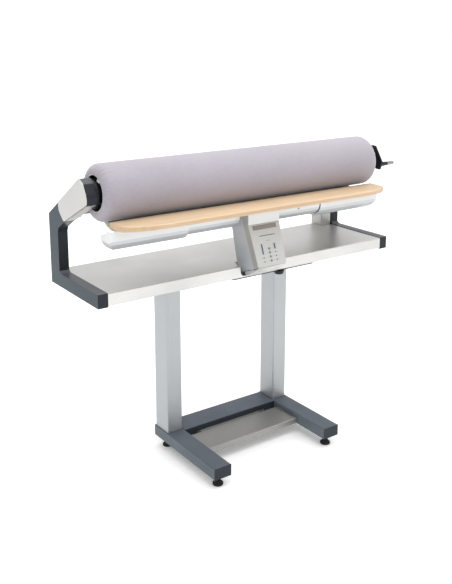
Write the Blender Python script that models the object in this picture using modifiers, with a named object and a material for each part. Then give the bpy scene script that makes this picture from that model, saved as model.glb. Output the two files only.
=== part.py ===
"""Rotary ironer on a column stand: padded roller, heated shoe, feed board and shelf.

Metres, +Z up, +X to the right of someone standing at the feed board, +Y away from them.
"""
import math

import bmesh
import bpy
from mathutils import Matrix, Vector

# --- driving dimensions -------------------------------------------------------------
GAP = 0.0003                    # air left between touching pieces

ROLLER_Y = -0.008
ROLLER_Z = 0.9865
ROLLER_RADIUS = 0.090
ROLLER_HALF = 0.557
COVER_HOLE_RADIUS = 0.058
COVER_END_RADIUS = 0.022
COVER_THICKNESS = 0.0035
PADDING_THICKNESS = 0.011
TUBE_WALL = 0.0025
PADDING_HALF = 0.538
ROLLER_TUBE_HALF = 0.5515
HUB_FACE = 0.533                # outer and inner face of the hubs
HUB_BACK = 0.517
HUB_HOLE_RADIUS = 0.0443
STUB_RADIUS = 0.014             # shaft that carries the crank
AXLE_RADIUS = 0.030

FRAME_INNER = 0.571             # inner face of each side frame
FRAME_OUTER = 0.605
FRAME_FRONT = -0.108
FRAME_REAR = 0.2285
ARM_BOTTOM = 0.6565
ARM_TOP = 0.701
POST_FRONT = 0.163

PIVOT_Y = 0.100                 # axis of the swinging shoe
PIVOT_Z = 0.912
SHOE_OPEN_ANGLE = math.radians(4)
SHAFT_RADIUS = 0.012

TROUGH_HALF = 0.508
TROUGH_INNER = 0.0908
TROUGH_OUTER = 0.1000
TROUGH_REAR_ANGLE = -35
TROUGH_FRONT_ANGLE = 38
INSULATION_INNER = 0.1085
INSULATION_OUTER = 0.1165
PAN_ARC_RADIUS = 0.118

BOARD_HALF = 0.540
BOARD_FRONT = -0.1946
BOARD_REAR = -0.074
BOARD_TOP = 0.9085
BOARD_FRONT_THICK = 0.015
BOARD_REAR_THICK = 0.025
BOARD_CORNER_X = 0.148
BOARD_CORNER_Y = 0.065

SHELF_TOP = 0.699
SHELF_FRONT = -0.108
SHELF_REAR = 0.222
SHELF_SHEET = 0.0015
LIP_BOTTOM = 0.659

PAN_INNER_X = 0.276
PAN_OUTER_X = 0.554
PAN_FRONT = -0.0995
PAN_REAR = -0.038
PAN_TOP = 0.883
PAN_BOTTOM = 0.816
PAN_RADIUS = 0.048
PAN_CORNER = 0.040
PAN_SHEET = 0.002

BAR_FRONT = -0.097              # plain bars between the covers and the control box
BAR_TOP = 0.8825
BAR_BOTTOM = 0.826
BAR_REAR = -0.045
BAR_RADIUS = 0.040
BAR_SHEET = 0.0025
BAR_GAP = 0.0005
BAR_LEFT_END = -0.076
BAR_RIGHT_START = 0.0645

PANEL_Y = -0.1285               # upper edge of the slanted control plate
PANEL_Z = 0.841
PANEL_FOOT_Y = -0.178
PANEL_FOOT_Z = 0.706
PANEL_THICKNESS = 0.003
BOX_HALF_TOP = 0.064
BOX_HALF_FOOT = 0.058
BOX_WALL = 0.0025

FOLLOWER_Y = -0.097             # roller that the lifting cam bears on
FOLLOWER_Z = 0.722
FOLLOWER_RADIUS = 0.009
CAM_SMALL_RADIUS = 0.018
CAM_CLEARANCE = 0.0005
CAM_TURNS_PER_SWING = -45

BASE_BOTTOM = 0.0355
BASE_TOP = 0.076
LEG_OUTER = 0.270
LEG_INNER = 0.203
LEG_FRONT = -0.2285
LEG_REAR = 0.153
CROSSBAR_FRONT = 0.057
CROSSBAR_REAR = 0.152
COLUMN_OUTER = 0.2656
COLUMN_WIDTH = 0.060
COLUMN_FRONT = 0.069
COLUMN_REAR = 0.151
TUBE_SHEET = 0.0025

PEDAL_HALF = 0.202
PEDAL_FRONT = -0.081
PEDAL_REAR = 0.035
PEDAL_TOP = 0.060
PEDAL_PIVOT_Y = 0.028
PEDAL_PIVOT_Z = 0.050

CRANK_INNER = 0.6055
CRANK_THICKNESS = 0.006
GRIP_Y = -0.056
GRIP_Z = 0.970
GRIP_START = 0.6433
GRIP_END = 0.678

KNOB_X = 0.0915
KNOB_Y = -0.098
KNOB_RADIUS = 0.018
KNOB_TOP = 0.6552
KNOB_BOTTOM = 0.6435

HEAD_PLATE_X = -0.607
MIDDLE_X = (HEAD_PLATE_X + GRIP_END) / 2

# --- start from an empty scene --------------------------------------------------------
for old in list(bpy.data.objects):
    bpy.data.objects.remove(old, do_unlink=True)

parts = bpy.data.collections.new("rotary_ironer")
cutters = bpy.data.collections.new("cutters")
bpy.context.scene.collection.children.link(parts)
bpy.context.scene.collection.children.link(cutters)

ALONG_X = Matrix(((0, 0, 1), (1, 0, 0), (0, 1, 0))).to_4x4()      # outline drawn in Y, Z
ALONG_Y = Matrix.Rotation(math.pi / 2, 4, "X")                    # outline drawn in X, Z
ALONG_Z = Matrix.Identity(4)                                      # outline drawn in X, Y
TURN_X = Matrix.Rotation(math.pi / 2, 4, "Y")                     # turned about a line along X
TURN_Y = Matrix.Rotation(-math.pi / 2, 4, "X")


# --- materials ----------------------------------------------------------------------
def make_material(name, colour, roughness, metallic):
    made = bpy.data.materials.new(name)
    made.use_nodes = True
    shader = made.node_tree.nodes["Principled BSDF"]
    shader.inputs["Base Color"].default_value = (*colour, 1)
    shader.inputs["Roughness"].default_value = roughness
    shader.inputs["Metallic"].default_value = metallic
    made.diffuse_color = (*colour, 1)
    return made


FINISHES = {
    "dark_coat": ((0.055, 0.085, 0.11), 0.45, 0.0),
    "black_plastic": ((0.02, 0.021, 0.025), 0.5, 0.0),
    "stainless": ((0.62, 0.62, 0.60), 0.32, 1.0),
    "anodised": ((0.60, 0.62, 0.63), 0.4, 0.8),
    "white_coat": ((0.76, 0.79, 0.80), 0.35, 0.0),
    "grey_coat": ((0.42, 0.44, 0.46), 0.4, 0.0),
    "beech": ((0.74, 0.53, 0.35), 0.5, 0.0),
    "cotton": ((0.62, 0.58, 0.66), 0.9, 0.0),
    "felt": ((0.70, 0.68, 0.62), 0.95, 0.0),
    "steel": ((0.45, 0.45, 0.46), 0.35, 1.0),
    "glass_wool": ((0.75, 0.68, 0.40), 0.95, 0.0),
    "board_green": ((0.03, 0.20, 0.08), 0.5, 0.0),
    "lens": ((0.14, 0.12, 0.11), 0.2, 0.0),
}


# --- shape helpers --------------------------------------------------------------------
def finish(piece, name, finish_name):
    """Name a piece, give it its own material and file it with the parts."""
    piece.name = name
    piece.data.name = name
    piece.data.materials.clear()
    piece.data.materials.append(make_material(name, *FINISHES[finish_name]))
    piece.data.shade_smooth()
    piece.data.set_sharp_from_angle(angle=math.radians(35))
    return piece


def object_from(mesh, name, place=None):
    made = bpy.data.objects.new(name, mesh)
    parts.objects.link(made)
    if place is not None:
        made.matrix_world = place
    return made


def mesh_from(shape, name, place=None):
    mesh = bpy.data.meshes.new(name)
    shape.to_mesh(mesh)
    shape.free()
    return object_from(mesh, name, place)


def box(name, low, high, bevel=0.0):
    """Box between two corners, with its edges rounded by bevel."""
    low = Vector(low)
    high = Vector(high)
    shape = bmesh.new()
    bmesh.ops.create_cube(shape, size=1)
    bmesh.ops.scale(shape, vec=high - low, verts=shape.verts)
    made = mesh_from(shape, name, Matrix.Translation((low + high) / 2))
    if bevel:
        add_bevel(made, bevel)
    return made


def add_bevel(piece, width, segments=2, angle=35):
    rounding = piece.modifiers.new("rounded edges", "BEVEL")
    rounding.width = width
    rounding.segments = segments
    rounding.limit_method = "ANGLE"
    rounding.angle_limit = math.radians(angle)


def prism(name, radius, low, high, centre, sides=24, turn=TURN_X, top_radius=None):
    """Cylinder (or hexagon) from low to high along the turned axis."""
    shape = bmesh.new()
    bmesh.ops.create_cone(shape, cap_ends=True, segments=sides, radius1=radius,
                          radius2=radius if top_radius is None else top_radius, depth=high - low)
    place = Matrix.Translation(centre) @ turn @ Matrix.Translation((0, 0, (low + high) / 2))
    return mesh_from(shape, name, place)


def turned(name, profile, centre, turn=TURN_X, steps=48, closed=True):
    """Profile of (radius, height) turned about the axis; the outer side runs downwards."""
    shape = bmesh.new()
    points = [shape.verts.new((radius, 0, height)) for radius, height in profile]
    pairs = list(zip(points, points[1:]))
    if closed:
        pairs.append((points[-1], points[0]))
    for first, second in pairs:
        shape.edges.new((first, second))
    made = mesh_from(shape, name, Matrix.Translation(centre) @ turn)
    screw = made.modifiers.new("turned", "SCREW")
    screw.steps = steps
    screw.render_steps = steps
    screw.use_merge_vertices = True
    screw.merge_threshold = 0.00001
    return made


def ring(name, inner, outer, low, high, centre, turn=TURN_X, steps=48):
    profile = [(outer, high), (outer, low), (inner, low), (inner, high)]
    return turned(name, profile, centre, turn, steps)


def arc(centre, radius, start, end, steps):
    """Points on an arc, angles in degrees from the first axis towards the second."""
    points = []
    for step in range(steps + 1):
        angle = math.radians(start + (end - start) * step / steps)
        points.append((centre[0] + radius * math.cos(angle), centre[1] + radius * math.sin(angle)))
    return points


def rounded(corners, steps=4, closed=True):
    """Path through (a, b, radius) corners with each corner rounded to its radius."""
    path = []
    count = len(corners)
    for index, (a, b, radius) in enumerate(corners):
        corner = Vector((a, b))
        if radius == 0 or (not closed and index in (0, count - 1)):
            path.append((a, b))
            continue
        before = (Vector(corners[index - 1][:2]) - corner).normalized()
        after = (Vector(corners[(index + 1) % count][:2]) - corner).normalized()
        half = before.angle(after) / 2
        reach = radius / math.tan(half)
        centre = corner + (before + after).normalized() * (radius / math.sin(half))
        first = corner + before * reach - centre
        swing = first.angle_signed(corner + after * reach - centre)
        for step in range(steps + 1):
            turn_by = -swing * step / steps
            point = centre + Matrix.Rotation(turn_by, 2) @ first
            path.append((point.x, point.y))
    return path


def sheet_outline(path, thickness):
    """Closed outline of a sheet that has path as its left-hand side."""
    inner = []
    for index, point in enumerate(path):
        here = Vector(point)
        normals = []
        if index > 0:
            along = (here - Vector(path[index - 1])).normalized()
            normals.append(Vector((along.y, -along.x)))
        if index < len(path) - 1:
            along = (Vector(path[index + 1]) - here).normalized()
            normals.append(Vector((along.y, -along.x)))
        normal = sum(normals, Vector((0, 0))).normalized()
        offset = thickness / normal.dot(normals[0])
        inner.append(tuple(here + normal * offset))
    return list(path) + inner[::-1]


def outline_solid(name, outlines, low, high, turn):
    """Flat outline, and any holes in it, given the thickness from low to high."""
    curve = bpy.data.curves.new(name, "CURVE")
    curve.dimensions = "2D"
    curve.fill_mode = "BOTH"
    curve.extrude = (high - low) / 2
    for outline in outlines:
        spline = curve.splines.new("POLY")
        spline.points.add(len(outline) - 1)
        for point, (a, b) in zip(spline.points, outline):
            point.co = (a, b, 0, 1)
        spline.use_cyclic_u = True
    sign = -1 if turn is ALONG_Y else 1
    drawn = object_from(curve, name, turn @ Matrix.Translation((0, 0, sign * (low + high) / 2)))
    solid = as_mesh(drawn, name)
    shape = bmesh.new()
    shape.from_mesh(solid.data)
    bmesh.ops.recalc_face_normals(shape, faces=shape.faces)
    shape.to_mesh(solid.data)
    shape.free()
    return solid


def as_mesh(piece, name):
    """Evaluated copy of a piece as a plain mesh; the piece itself is removed."""
    bpy.context.view_layer.update()
    evaluated = piece.evaluated_get(bpy.context.evaluated_depsgraph_get())
    mesh = bpy.data.meshes.new_from_object(evaluated)
    place = piece.matrix_world.copy()
    bpy.data.objects.remove(piece, do_unlink=True)
    shape = bmesh.new()
    shape.from_mesh(mesh)
    bmesh.ops.remove_doubles(shape, verts=shape.verts, dist=0.00001)
    shape.to_mesh(mesh)
    shape.free()
    return object_from(mesh, name, place)


def boolean(piece, tool, operation):
    """Cut, join or intersect a piece with a tool that stays as a hidden cutter."""
    tool = as_mesh(tool, piece.name + "_cutter")
    parts.objects.unlink(tool)
    cutters.objects.link(tool)
    tool.hide_render = True
    tool.display_type = "WIRE"
    attach(tool, piece)
    change = piece.modifiers.new(operation.lower(), "BOOLEAN")
    change.operation = operation
    change.object = tool
    return piece


def crossed(name, side_outline, other_outline, width, reach, turn):
    """Solid that shows one outline from the side and the other along turn."""
    solid = outline_solid(name, [side_outline], -width, width, ALONG_X)
    tool = outline_solid(name + "_plan", [other_outline], reach[0], reach[1], turn)
    return boolean(solid, tool, "INTERSECT")


def circle(centre, radius, steps=24):
    return arc(centre, radius, 0, 360 - 360 / steps, steps - 1)


def mirrored(outline):
    return [(-a, b) for a, b in outline]


# --- places that several pieces share --------------------------------------------------
def empty(name, place, parent=None):
    made = bpy.data.objects.new(name, None)
    parts.objects.link(made)
    made.empty_display_size = 0.05
    made.location = place
    bpy.context.view_layer.update()
    if parent is not None:
        attach(made, parent)
    return made


def attach(piece, parent):
    bpy.context.view_layer.update()
    place = piece.matrix_world.copy()
    piece.parent = parent
    piece.matrix_parent_inverse = parent.matrix_world.inverted()
    piece.matrix_world = place
    return piece


def swung(y, z, angle):
    """Point carried round the shoe pivot by an angle about +X."""
    turned_by = Matrix.Rotation(angle, 2) @ Vector((y - PIVOT_Y, z - PIVOT_Z))
    return PIVOT_Y + turned_by.x, PIVOT_Z + turned_by.y


def around_roller(radius, degrees):
    """Point at an angle from straight below the roller axis towards the user."""
    angle = math.radians(degrees)
    return ROLLER_Y - radius * math.sin(angle), ROLLER_Z - radius * math.cos(angle)


def roller_arc(radius, start, end, steps):
    return [around_roller(radius, start + (end - start) * step / steps) for step in range(steps + 1)]


ROLLER_AXIS = Vector((0, ROLLER_Y, ROLLER_Z))
PIVOT = Vector((0, PIVOT_Y, PIVOT_Z))
PANEL_ANGLE = math.atan2(PANEL_Y - PANEL_FOOT_Y, PANEL_Z - PANEL_FOOT_Z)
PANEL_LENGTH = math.hypot(PANEL_Y - PANEL_FOOT_Y, PANEL_Z - PANEL_FOOT_Z)
PANEL_PLACE = (Matrix.Translation((0, PANEL_Y, PANEL_Z))
               @ Matrix.Rotation(math.pi / 2 - PANEL_ANGLE, 4, "X"))
CAM_OFFSET = (CAM_SMALL_RADIUS + FOLLOWER_RADIUS + CAM_CLEARANCE) / math.sqrt(2)
CAM_Y = FOLLOWER_Y - CAM_OFFSET
CAM_Z = FOLLOWER_Z + CAM_OFFSET
CAM_AXIS = Vector((0, CAM_Y, CAM_Z))
FOLLOWER_AXIS = Vector((0, FOLLOWER_Y, FOLLOWER_Z))
PAN_CENTRE = swung(ROLLER_Y, ROLLER_Z, SHOE_OPEN_ANGLE)

machine = empty("machine", (0, 0, 0))
roller_body = empty("roller_axis", ROLLER_AXIS, machine)
grip_body = empty("grip_axis", (GRIP_START, GRIP_Y, GRIP_Z), roller_body)
shoe_body = empty("shoe_pivot", PIVOT, machine)
closed_shoe = empty("closed_shoe", PIVOT, shoe_body)
cam_body = empty("cam_axis", CAM_AXIS, shoe_body)
follower_body = empty("follower_axis", FOLLOWER_AXIS, machine)
pedal_body = empty("pedal_pivot", (0, PEDAL_PIVOT_Y, PEDAL_PIVOT_Z), machine)
knob_body = empty("knob_axis", (KNOB_X, KNOB_Y, LIP_BOTTOM), machine)


# --- base ---------------------------------------------------------------------------
def rectangle(low_a, low_b, high_a, high_b, radius):
    return rounded([(low_a, low_b, radius), (high_a, low_b, radius),
                    (high_a, high_b, radius), (low_a, high_b, radius)], steps=3)


def tube_outlines(low_a, low_b, high_a, high_b, radius=0.004, wall=TUBE_SHEET):
    outer = rectangle(low_a, low_b, high_a, high_b, radius)
    inner = rectangle(low_a + wall, low_b + wall, high_a - wall, high_b - wall, radius - wall / 2)
    return [outer, inner]


CAP_FLANGE = 0.0025
CAP_PLUG = 0.014


def base():
    pieces = []
    foot_profile = [(0, 0.0352), (0.005, 0.0352), (0.005, 0.0150), (0.0105, 0.0150),
                    (0.0125, 0.0110), (0.0180, 0.0070), (0.0180, 0.0010), (0.0170, 0), (0, 0)]
    for side, label in ((-1, "left"), (1, "right")):
        low, high = sorted((side * LEG_INNER, side * LEG_OUTER))
        leg = outline_solid("leg", tube_outlines(low, BASE_BOTTOM, high, BASE_TOP),
                            LEG_FRONT + CAP_FLANGE + GAP, LEG_REAR, ALONG_Y)
        pieces.append(finish(leg, "base_leg_" + label, "dark_coat"))
        flange = box("flange", (low, LEG_FRONT, BASE_BOTTOM),
                     (high, LEG_FRONT + CAP_FLANGE, BASE_TOP), 0.0008)
        inset = TUBE_SHEET + 2 * GAP
        plug = box("plug", (low + inset, LEG_FRONT + 0.001, BASE_BOTTOM + inset),
                   (high - inset, LEG_FRONT + CAP_PLUG, BASE_TOP - inset), 0.003)
        pieces.append(finish(boolean(flange, plug, "UNION"), "leg_end_cap_" + label, "black_plastic"))
        for place, y in (("front", LEG_FRONT + 0.030), ("rear", LEG_REAR - 0.033)):
            foot = turned("foot", foot_profile, ((low + high) / 2, y, 0), Matrix.Identity(4),
                          steps=24, closed=False)
            pieces.append(finish(foot, "glide_foot_%s_%s" % (place, label), "black_plastic"))
    crossbar = outline_solid("crossbar", tube_outlines(CROSSBAR_FRONT, BASE_BOTTOM,
                                                       CROSSBAR_REAR, BASE_TOP),
                             -LEG_INNER + GAP, LEG_INNER - GAP, ALONG_X)
    pieces.append(finish(crossbar, "base_crossbar", "dark_coat"))
    return pieces


COLUMN_TOP = ARM_BOTTOM - 0.0003
BEAM_BOTTOM = 0.6568


def columns():
    pieces = []
    for side, label in ((-1, "left"), (1, "right")):
        low, high = sorted((side * COLUMN_OUTER, side * (COLUMN_OUTER - COLUMN_WIDTH)))
        outlines = tube_outlines(low, COLUMN_FRONT, high, COLUMN_REAR, 0.004)
        column = outline_solid("column", outlines, BASE_TOP + GAP, COLUMN_TOP, ALONG_Z)
        pieces.append(finish(column, "column_" + label, "anodised"))
    outlines = tube_outlines(0.060, BEAM_BOTTOM, 0.160, SHELF_TOP - SHELF_SHEET - GAP)
    beam = outline_solid("beam", outlines, -FRAME_INNER + GAP, FRAME_INNER - GAP, ALONG_X)
    pieces.append(finish(beam, "shelf_beam", "dark_coat"))
    return pieces


# --- shelf ---------------------------------------------------------------------------
NOTCH_REAR = -0.055
NOTCH_HALF_REAR = 0.066
NOTCH_HALF_FRONT = 0.081
NOTCH_HALF_LOW = 0.058
NOTCH_LOW = 0.664


def shelf():
    path = rounded([(SHELF_REAR, 0.680, 0), (SHELF_REAR, SHELF_TOP, 0.003),
                    (SHELF_FRONT, SHELF_TOP, 0.003), (SHELF_FRONT, LIP_BOTTOM, 0.003),
                    (-0.094, LIP_BOTTOM, 0)], steps=4, closed=False)
    half = FRAME_INNER - GAP
    sheet = outline_solid("shelf", [sheet_outline(path[::-1], SHELF_SHEET)], -half, half, ALONG_X)
    plan = [(-NOTCH_HALF_REAR, NOTCH_REAR), (NOTCH_HALF_REAR, NOTCH_REAR),
            (NOTCH_HALF_FRONT, SHELF_FRONT - 0.004), (-NOTCH_HALF_FRONT, SHELF_FRONT - 0.004)]
    top_notch = outline_solid("top_notch", [plan], SHELF_TOP - 0.006, SHELF_TOP + 0.006, ALONG_Z)
    side = []
    for step in range(7):
        fall = step / 6
        bend = math.sin(fall * math.pi / 2)
        width = NOTCH_HALF_FRONT + (NOTCH_HALF_LOW - NOTCH_HALF_FRONT) * (1 - math.sqrt(1 - fall * fall))
        side.append((width, SHELF_TOP - 0.004 + (NOTCH_LOW - SHELF_TOP + 0.004) * bend))
    face = side + mirrored(side)[::-1]
    lip_notch = outline_solid("lip_notch", [face], SHELF_FRONT - 0.004, SHELF_FRONT + 0.008, ALONG_Y)
    hem_notch = box("hem_notch", (-0.052, SHELF_FRONT + 0.0018, LIP_BOTTOM - 0.002),
                    (0.032, -0.090, NOTCH_LOW + 0.002))
    for tool in (top_notch, lip_notch, hem_notch):
        boolean(sheet, tool, "DIFFERENCE")
    plate = box("plate", (-0.110, -0.106, 0.6555), (0.240, 0.0570, 0.6585), 0.0005)
    return [finish(sheet, "shelf", "stainless"), finish(plate, "mounting_plate", "black_plastic")]


# --- side frames ----------------------------------------------------------------------
HEAD_FRONT = [(-0.0105, 1.0385, 0.012), (-0.036, 1.0265, 0.018), (-0.0605, 0.984, 0.030),
              (-0.0565, 0.9640, 0.005)]
HEAD_EDGE_END = (0.100, 0.8865)


def frames():
    arm = [(FRAME_FRONT, ARM_TOP, 0), (FRAME_FRONT, ARM_BOTTOM, 0), (FRAME_REAR, ARM_BOTTOM, 0.002)]
    inner_corner = [(POST_FRONT, 0.709, 0.003), (0.153, ARM_TOP, 0.003)]
    left = arm + [(FRAME_REAR, 0.888, 0.004), (0.2165, 0.8960, 0.006)] + HEAD_FRONT
    left += [(*HEAD_EDGE_END, 0.004), (0.156, 0.854, 0.006), (POST_FRONT, 0.838, 0.004)] + inner_corner
    right = arm + [(FRAME_REAR, 0.930, 0.012), (0.200, 0.945, 0.010), (0.074, 0.945, 0.024),
                   (0.072, 0.886, 0.020), (POST_FRONT, 0.852, 0.015)] + inner_corner
    pieces = []
    for label, corners, low in (("left", left, -FRAME_OUTER), ("right", right, FRAME_INNER)):
        frame = outline_solid("frame", [rounded(corners)], low, low + FRAME_OUTER - FRAME_INNER, ALONG_X)
        pieces.append(finish(frame, "side_frame_" + label, "dark_coat"))
    plate = HEAD_FRONT + [(0.110, 0.8815, 0.014), (0.1440, 0.912, 0.020), (0.1485, 0.9385, 0.006)]
    head = outline_solid("head", [rounded(plate)], HEAD_PLATE_X, -FRAME_OUTER - GAP, ALONG_X)
    pieces.append(finish(head, "head_plate", "stainless"))
    first = Vector(HEAD_FRONT[-1][:2])
    along = (Vector(HEAD_EDGE_END) - first).normalized()
    below = Vector((along.y, -along.x))
    start = first + along * 0.008
    end = Vector(HEAD_EDGE_END) - along * 0.004
    strip = [start + below * GAP, end + below * GAP, end + below * 0.0018, start + below * 0.0018]
    cover = outline_solid("strip", [[tuple(point) for point in strip]],
                          -FRAME_OUTER + 0.001, -FRAME_INNER - 0.001, ALONG_X)
    pieces.append(finish(cover, "head_underside_strip", "stainless"))
    path = rounded([(0.5175, 0.222, 0), (0.5175, 0.164, 0.002), (0.5675, 0.164, 0.002),
                    (0.5675, 0.222, 0)], steps=2, closed=False)
    duct = outline_solid("duct", [sheet_outline(path[::-1], 0.0012)], SHELF_TOP + GAP, 0.900, ALONG_Z)
    pieces.append(finish(duct, "right_post_cover", "stainless"))
    return pieces


# --- fixed axle, motor and bearings ------------------------------------------------------
def axle():
    inner = -FRAME_INNER + GAP
    flange = ring("flange", AXLE_RADIUS + GAP, 0.046, inner, inner + 0.009, ROLLER_AXIS)
    tube = ring("axle", AXLE_RADIUS - 0.003, AXLE_RADIUS, inner, 0.430, ROLLER_AXIS, steps=32)
    motor = turned("motor", [(0, 0.4276), (0.012, 0.4276), (0.012, 0.418), (0.0265, 0.418),
                             (0.0265, 0.200), (0, 0.200)], ROLLER_AXIS, steps=24, closed=False)
    bearing = ring("bearing", AXLE_RADIUS + GAP, 0.044, -0.532, -0.518, ROLLER_AXIS, steps=32)
    housings = []
    for label, low in (("left", -FRAME_INNER + GAP), ("right", FRAME_INNER - GAP - 0.014)):
        housing = ring("housing", SHAFT_RADIUS + GAP, 0.020, low, low + 0.014, PIVOT, steps=24)
        housings.append(finish(housing, "pivot_bearing_" + label, "steel"))
    gland = turned("gland", [(0.004, 0.020), (0.008, 0.020), (0.0105, 0.016), (0.0105, 0.006),
                             (0.013, 0.006), (0.013, GAP), (0.004, GAP)],
                   (0.400, 0.160, 0.677), TURN_Y, steps=16)
    return [finish(flange, "axle_flange", "black_plastic"), finish(tube, "axle_tube", "steel"),
            finish(motor, "roller_motor", "steel"), finish(bearing, "roller_bearing", "steel"),
            finish(gland, "mains_gland", "black_plastic")] + housings


# --- turning roller -----------------------------------------------------------------------
def roller():
    tube_radius = ROLLER_RADIUS - COVER_THICKNESS - PADDING_THICKNESS - 2 * GAP
    inside = tube_radius - TUBE_WALL
    tube = ring("tube", inside, tube_radius, -ROLLER_TUBE_HALF, ROLLER_TUBE_HALF, ROLLER_AXIS)
    hub_left = ring("hub", HUB_HOLE_RADIUS, inside - GAP, -HUB_FACE, -HUB_BACK, ROLLER_AXIS, steps=40)
    hub_right = turned("hub", [(0, FRAME_OUTER), (STUB_RADIUS, FRAME_OUTER), (STUB_RADIUS, HUB_FACE),
                               (inside - GAP, HUB_FACE), (inside - GAP, HUB_BACK), (0, HUB_BACK)],
                       ROLLER_AXIS, steps=40, closed=False)
    drive = turned("drive", [(0, 0.445), (inside - GAP, 0.445), (inside - GAP, 0.432),
                             (0.008, 0.432), (0.008, 0.4281), (0, 0.4281)],
                   ROLLER_AXIS, steps=32, closed=False)
    padding = ring("padding", tube_radius + GAP, tube_radius + GAP + PADDING_THICKNESS - 0.0002,
                   -PADDING_HALF, PADDING_HALF, ROLLER_AXIS, steps=64)
    bend = ROLLER_HALF - COVER_END_RADIUS
    radius = ROLLER_RADIUS - COVER_END_RADIUS
    inner_bend = COVER_END_RADIUS - COVER_THICKNESS
    outer = arc((radius, bend), COVER_END_RADIUS, 90, 0, 6)
    outer += arc((radius, -bend), COVER_END_RADIUS, 0, -90, 6)
    under = arc((radius, -bend), inner_bend, -90, 0, 6) + arc((radius, bend), inner_bend, 0, 90, 6)
    profile = [(COVER_HOLE_RADIUS, ROLLER_HALF)] + outer
    profile += [(COVER_HOLE_RADIUS, -ROLLER_HALF), (COVER_HOLE_RADIUS, -ROLLER_HALF + COVER_THICKNESS)]
    profile += under + [(COVER_HOLE_RADIUS, ROLLER_HALF - COVER_THICKNESS)]
    cover = turned("cover", profile, ROLLER_AXIS, steps=64)
    pieces = [finish(tube, "roller_tube", "steel"), finish(hub_left, "roller_hub_left", "black_plastic"),
              finish(hub_right, "roller_hub_right", "black_plastic"),
              finish(drive, "drive_flange", "steel"), finish(padding, "roller_padding", "felt"),
              finish(cover, "roller_cover", "cotton")]
    return pieces


def crank():
    """Plate on the roller's end with a peg that carries the loose grip."""
    corners = [(-0.002, 0.052, 0.010), (-0.023, 0.050, 0.008), (-0.060, -0.008, 0.010),
               (-0.050, -0.038, 0.008), (0.012, -0.030, 0.020), (0.030, 0.010, 0.020)]
    path = [(ROLLER_Y + y, ROLLER_Z + z, radius) for y, z, radius in corners]
    plate = outline_solid("crank", [rounded(path)], CRANK_INNER, CRANK_INNER + CRANK_THICKNESS, ALONG_X)
    neck = turned("neck", [(0, 0.6745), (0.0035, 0.6745), (0.0035, GRIP_START - GAP),
                           (0.0070, GRIP_START - GAP), (0.0085, 0.620), (0.0085, 0.608), (0, 0.608)],
                  (0, GRIP_Y, GRIP_Z), steps=24, closed=False)
    boolean(plate, neck, "UNION")
    grip = turned("grip", [(0, GRIP_END), (0.0052, GRIP_END), (0.0066, GRIP_END - 0.003),
                           (0.0072, GRIP_START), (0.0039, GRIP_START), (0.0039, 0.6750), (0, 0.6750)],
                  (0, GRIP_Y, GRIP_Z), steps=24, closed=False)
    return finish(plate, "crank", "black_plastic"), finish(grip, "crank_grip", "steel")


# --- heated shoe --------------------------------------------------------------------------
def shell_arc(name, inner, outer, rear, front, half, steps=12):
    outline = roller_arc(inner, rear, front, steps) + roller_arc(outer, front, rear, steps)
    return outline_solid(name, [outline], -half, half, ALONG_X)


def trough():
    """Pieces drawn where they stand when the shoe is pressed to the roller."""
    pan = shell_arc("trough", TROUGH_INNER, TROUGH_OUTER, TROUGH_REAR_ANGLE, TROUGH_FRONT_ANGLE, TROUGH_HALF)
    wool = shell_arc("wool", INSULATION_INNER, INSULATION_OUTER, -28, 35, TROUGH_HALF - 0.008)
    return [finish(pan, "shoe_trough", "anodised"), finish(wool, "trough_insulation", "glass_wool"),
            finish(heater(), "heating_element", "steel"), finish(swing_carrier(), "swing_carrier", "steel")]


HEATER_RADIUS = 0.1042


def heater():
    """Hairpin rod that runs to the far end behind the trough and comes back."""
    reach = TROUGH_HALF - 0.014
    bend = roller_arc(HEATER_RADIUS, -14, 12, 6)
    route = [(-reach, *bend[0]), (reach - 0.020, *bend[0])]
    for step in range(1, 6):
        bulge = 0.020 * math.sin(math.pi * step / 6)
        route.append((reach - 0.020 + bulge, *bend[step]))
    route += [(reach - 0.020, *bend[6]), (-reach, *bend[6])]
    curve = bpy.data.curves.new("heater", "CURVE")
    curve.dimensions = "3D"
    curve.bevel_depth = 0.0038
    curve.bevel_resolution = 2
    curve.use_fill_caps = True
    spline = curve.splines.new("POLY")
    spline.points.add(len(route) - 1)
    for point, place in zip(spline.points, route):
        point.co = (*place, 1)
    return as_mesh(object_from(curve, "heater"), "heater")


def swing_carrier():
    """Two arms from the pivot shaft to the back of the trough, tied by a tube."""
    upper = roller_arc(PAN_ARC_RADIUS, 9, -30, 5)
    hub = arc((PIVOT_Y, PIVOT_Z), 0.022, 135, -90, 9)
    lower = roller_arc(0.148, -8, 9, 2)
    hole = circle((PIVOT_Y, PIVOT_Z), SHAFT_RADIUS + GAP, 20)
    arms = [outline_solid("arm", [upper + hub + lower, hole], x - 0.005, x + 0.005, ALONG_X)
            for x in (-0.420, 0.420)]
    y, z = around_roller(0.134, -12)
    tie = prism("tie", 0.009, -0.422, 0.422, (0, y, z), sides=16)
    for arm in arms:
        boolean(tie, arm, "UNION")
    return tie


def pan_section(inset, top):
    """Section of a shoe cover, moved inwards by inset and closed at the given height."""
    front = PAN_FRONT + inset
    bottom = PAN_BOTTOM + inset
    radius = PAN_RADIUS - inset
    outline = [(front, top)] + arc((front + radius, bottom + radius), radius, 180, 270, 6)
    outline.append((PAN_REAR - inset, bottom))
    return outline


def arc_above(low_y, high_y, steps, radius=PAN_ARC_RADIUS):
    """Arc of clearance round the insulation, from high_y forwards to low_y."""
    points = []
    for step in range(steps + 1):
        y = high_y + (low_y - high_y) * step / steps
        drop = math.sqrt(radius ** 2 - (y - PAN_CENTRE[0]) ** 2)
        points.append((y, PAN_CENTRE[1] - drop))
    return points


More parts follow.
